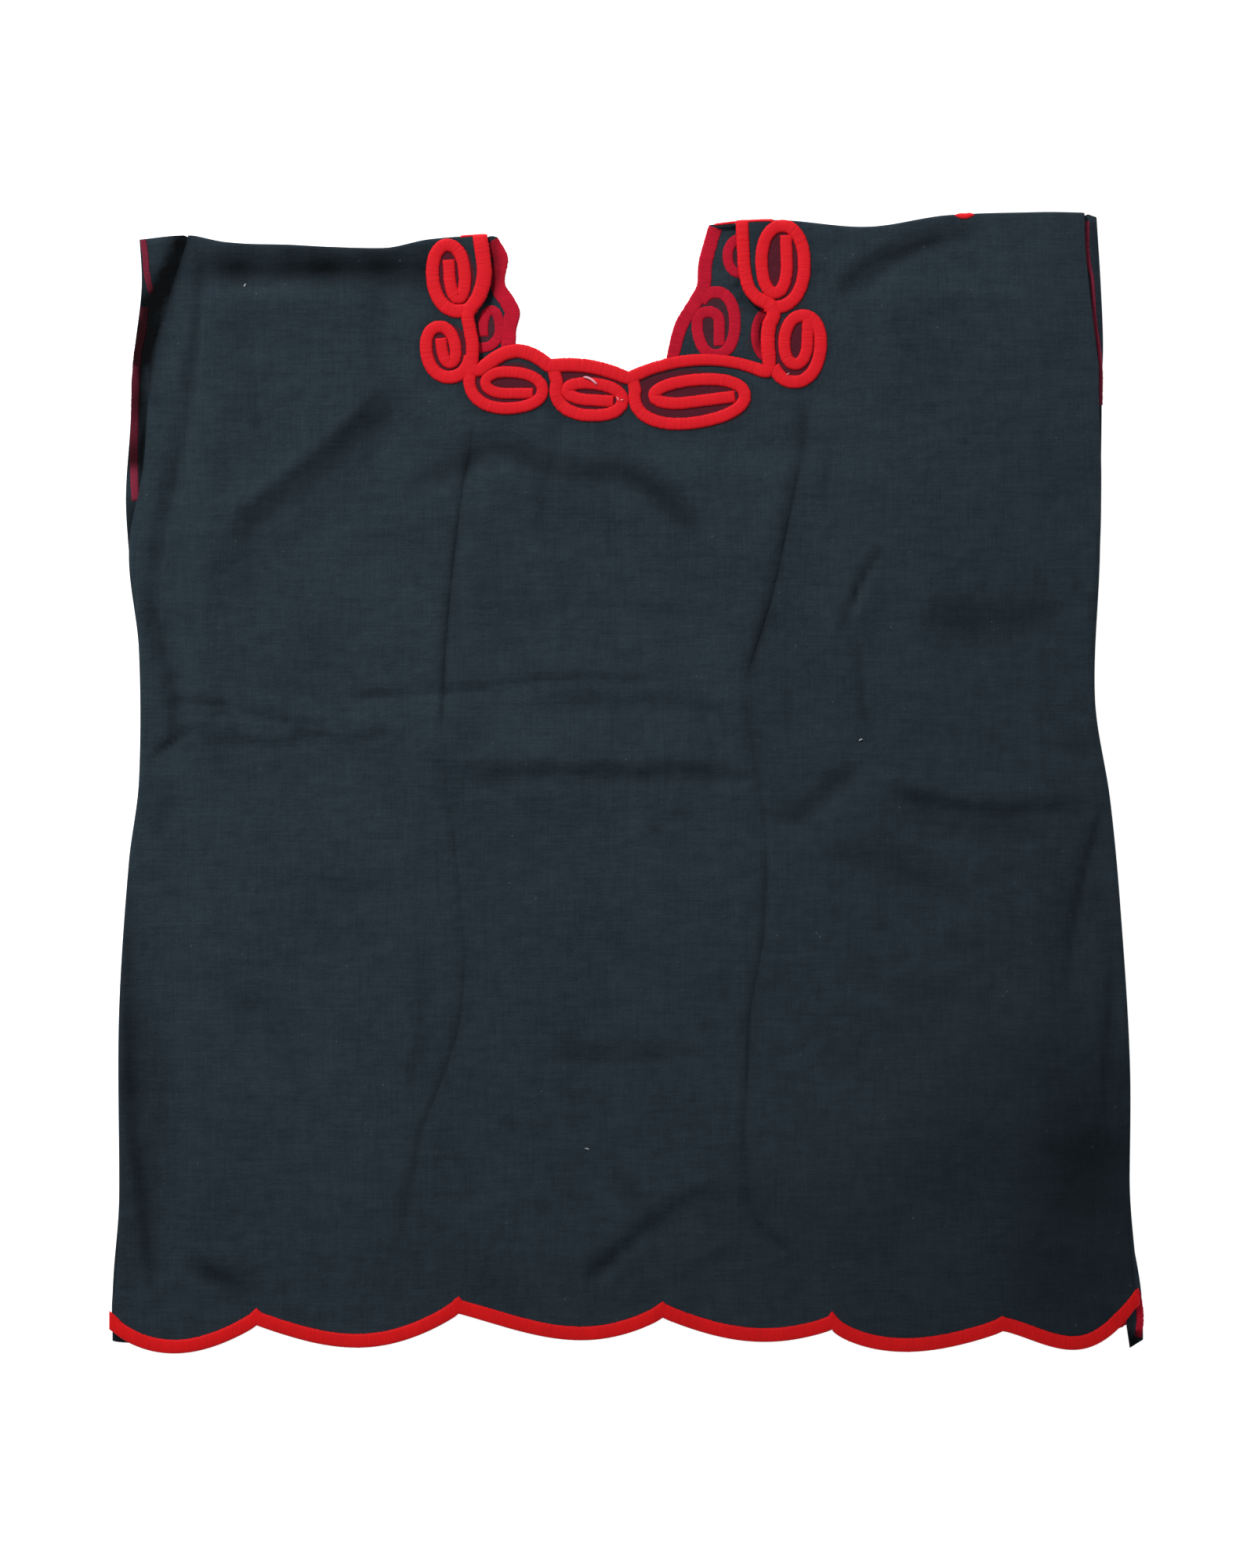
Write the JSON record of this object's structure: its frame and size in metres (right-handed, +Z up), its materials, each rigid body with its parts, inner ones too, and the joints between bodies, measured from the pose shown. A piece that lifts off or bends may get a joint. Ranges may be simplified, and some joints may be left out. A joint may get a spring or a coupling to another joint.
{
  "type": "embroidered top",
  "caption": "Sleeveless cotton blouse laid flat, folded at the shoulders, with a satin-stitched scalloped hem and raised embroidered scrolls round a low open neck.",
  "frame": {"origin": "middle of the flat underside of the back, at the centre of the box round the laid-out garment", "axes": "+X to the right as seen from above, +Y from the hem to the neck, +Z up off the surface through the front"},
  "size_m": [0.619, 0.6847, 0.0109],
  "materials": {
    "cotton": "matt plain weave",
    "satin_thread": "satin stitch",
    "hem_thread": "satin stitch",
    "wrong_side_thread": "flat stitch, wrong side"
  },
  "bodies": {
    "root": {"body_cloth": "cotton", "front_hem_band": "hem_thread", "back_hem_band": "wrong_side_thread", "front_neck_line": "satin_thread", "back_neck_line": "wrong_side_thread", "scroll_1": "satin_thread", "scroll_2": "satin_thread", "scroll_3": "satin_thread", "scroll_4": "satin_thread", "scroll_5": "satin_thread", "scroll_6": "satin_thread", "scroll_7": "satin_thread", "back_scroll_1": "wrong_side_thread", "back_scroll_2": "wrong_side_thread", "back_scroll_3": "wrong_side_thread", "back_scroll_4": "wrong_side_thread"}
  },
  "joints": []
}
